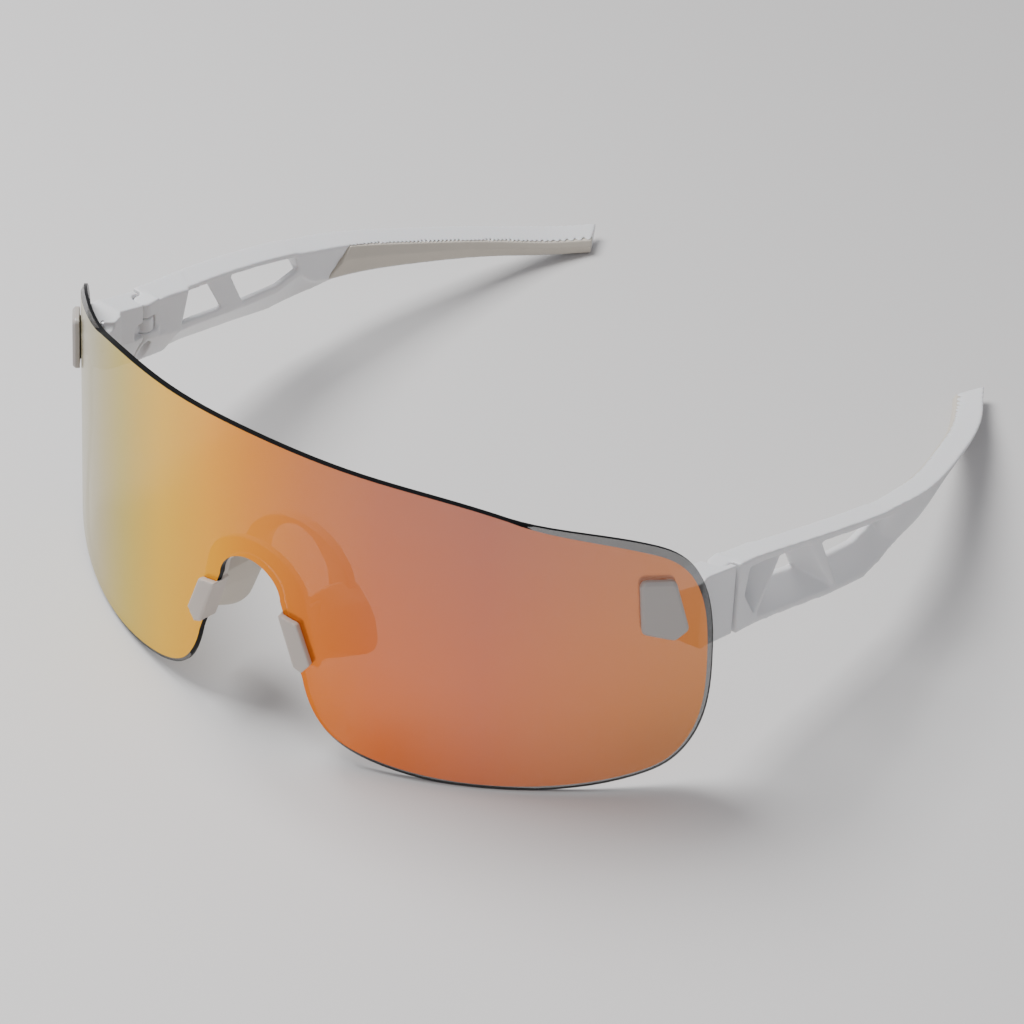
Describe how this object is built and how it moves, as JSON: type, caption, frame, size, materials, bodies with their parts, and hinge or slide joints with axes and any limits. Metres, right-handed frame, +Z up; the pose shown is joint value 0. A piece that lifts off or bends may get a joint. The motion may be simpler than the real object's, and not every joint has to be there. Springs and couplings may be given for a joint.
{
  "type": "wraparound sport sunglasses",
  "caption": "Rimless wraparound sunglasses: one mirrored shield lens, white open-truss folding arms with rubber grips, and a clip-on nosepiece.",
  "frame": {"origin": "middle of the bounding box's underside, on the floor the open glasses stand on", "axes": "+X the wearer's left, +Y from the lens toward the ear tips, +Z up from the floor; the wearer looks along -Y"},
  "size_m": [0.1412, 0.1636, 0.0604],
  "materials": {
    "lens": "orange mirror coating on a smoke polycarbonate lens, edge bare and near black",
    "frame": "white moulded nylon, semi-gloss",
    "grip": "ivory soft rubber, matt",
    "bushing": "black, matt",
    "steel": "fine turned stainless",
    "brass": "turned"
  },
  "bodies": {
    "front": {"shield_lens": "lens", "nose_carrier": "frame", "front_plate_left": "frame", "end_piece_left": "frame", "nose_pad_left": "grip", "lens_bushings_left": "bushing", "plate_screws_left": "steel", "front_plate_right": "frame", "end_piece_right": "frame", "nose_pad_right": "grip", "lens_bushings_right": "bushing", "plate_screws_right": "steel"},
    "arm_left": {"temple_left": "frame", "temple_grip_left": "grip", "hinge_screw_left": "steel", "hinge_insert_left": "brass"},
    "arm_right": {"temple_right": "frame", "temple_grip_right": "grip", "hinge_screw_right": "steel", "hinge_insert_right": "brass"}
  },
  "joints": [
    {"name": "hinge_left", "type": "hinge", "parent": "front", "child": "arm_left", "pos_m": [0.06443, -0.03388, 0.03162], "axis": [0, 0.052, 0.9986], "range_deg": [0, 90]},
    {"name": "hinge_right", "type": "hinge", "parent": "front", "child": "arm_right", "pos_m": [-0.06443, -0.03388, 0.03162], "axis": [0, -0.052, -0.9986], "range_deg": [0, 80]}
  ]
}
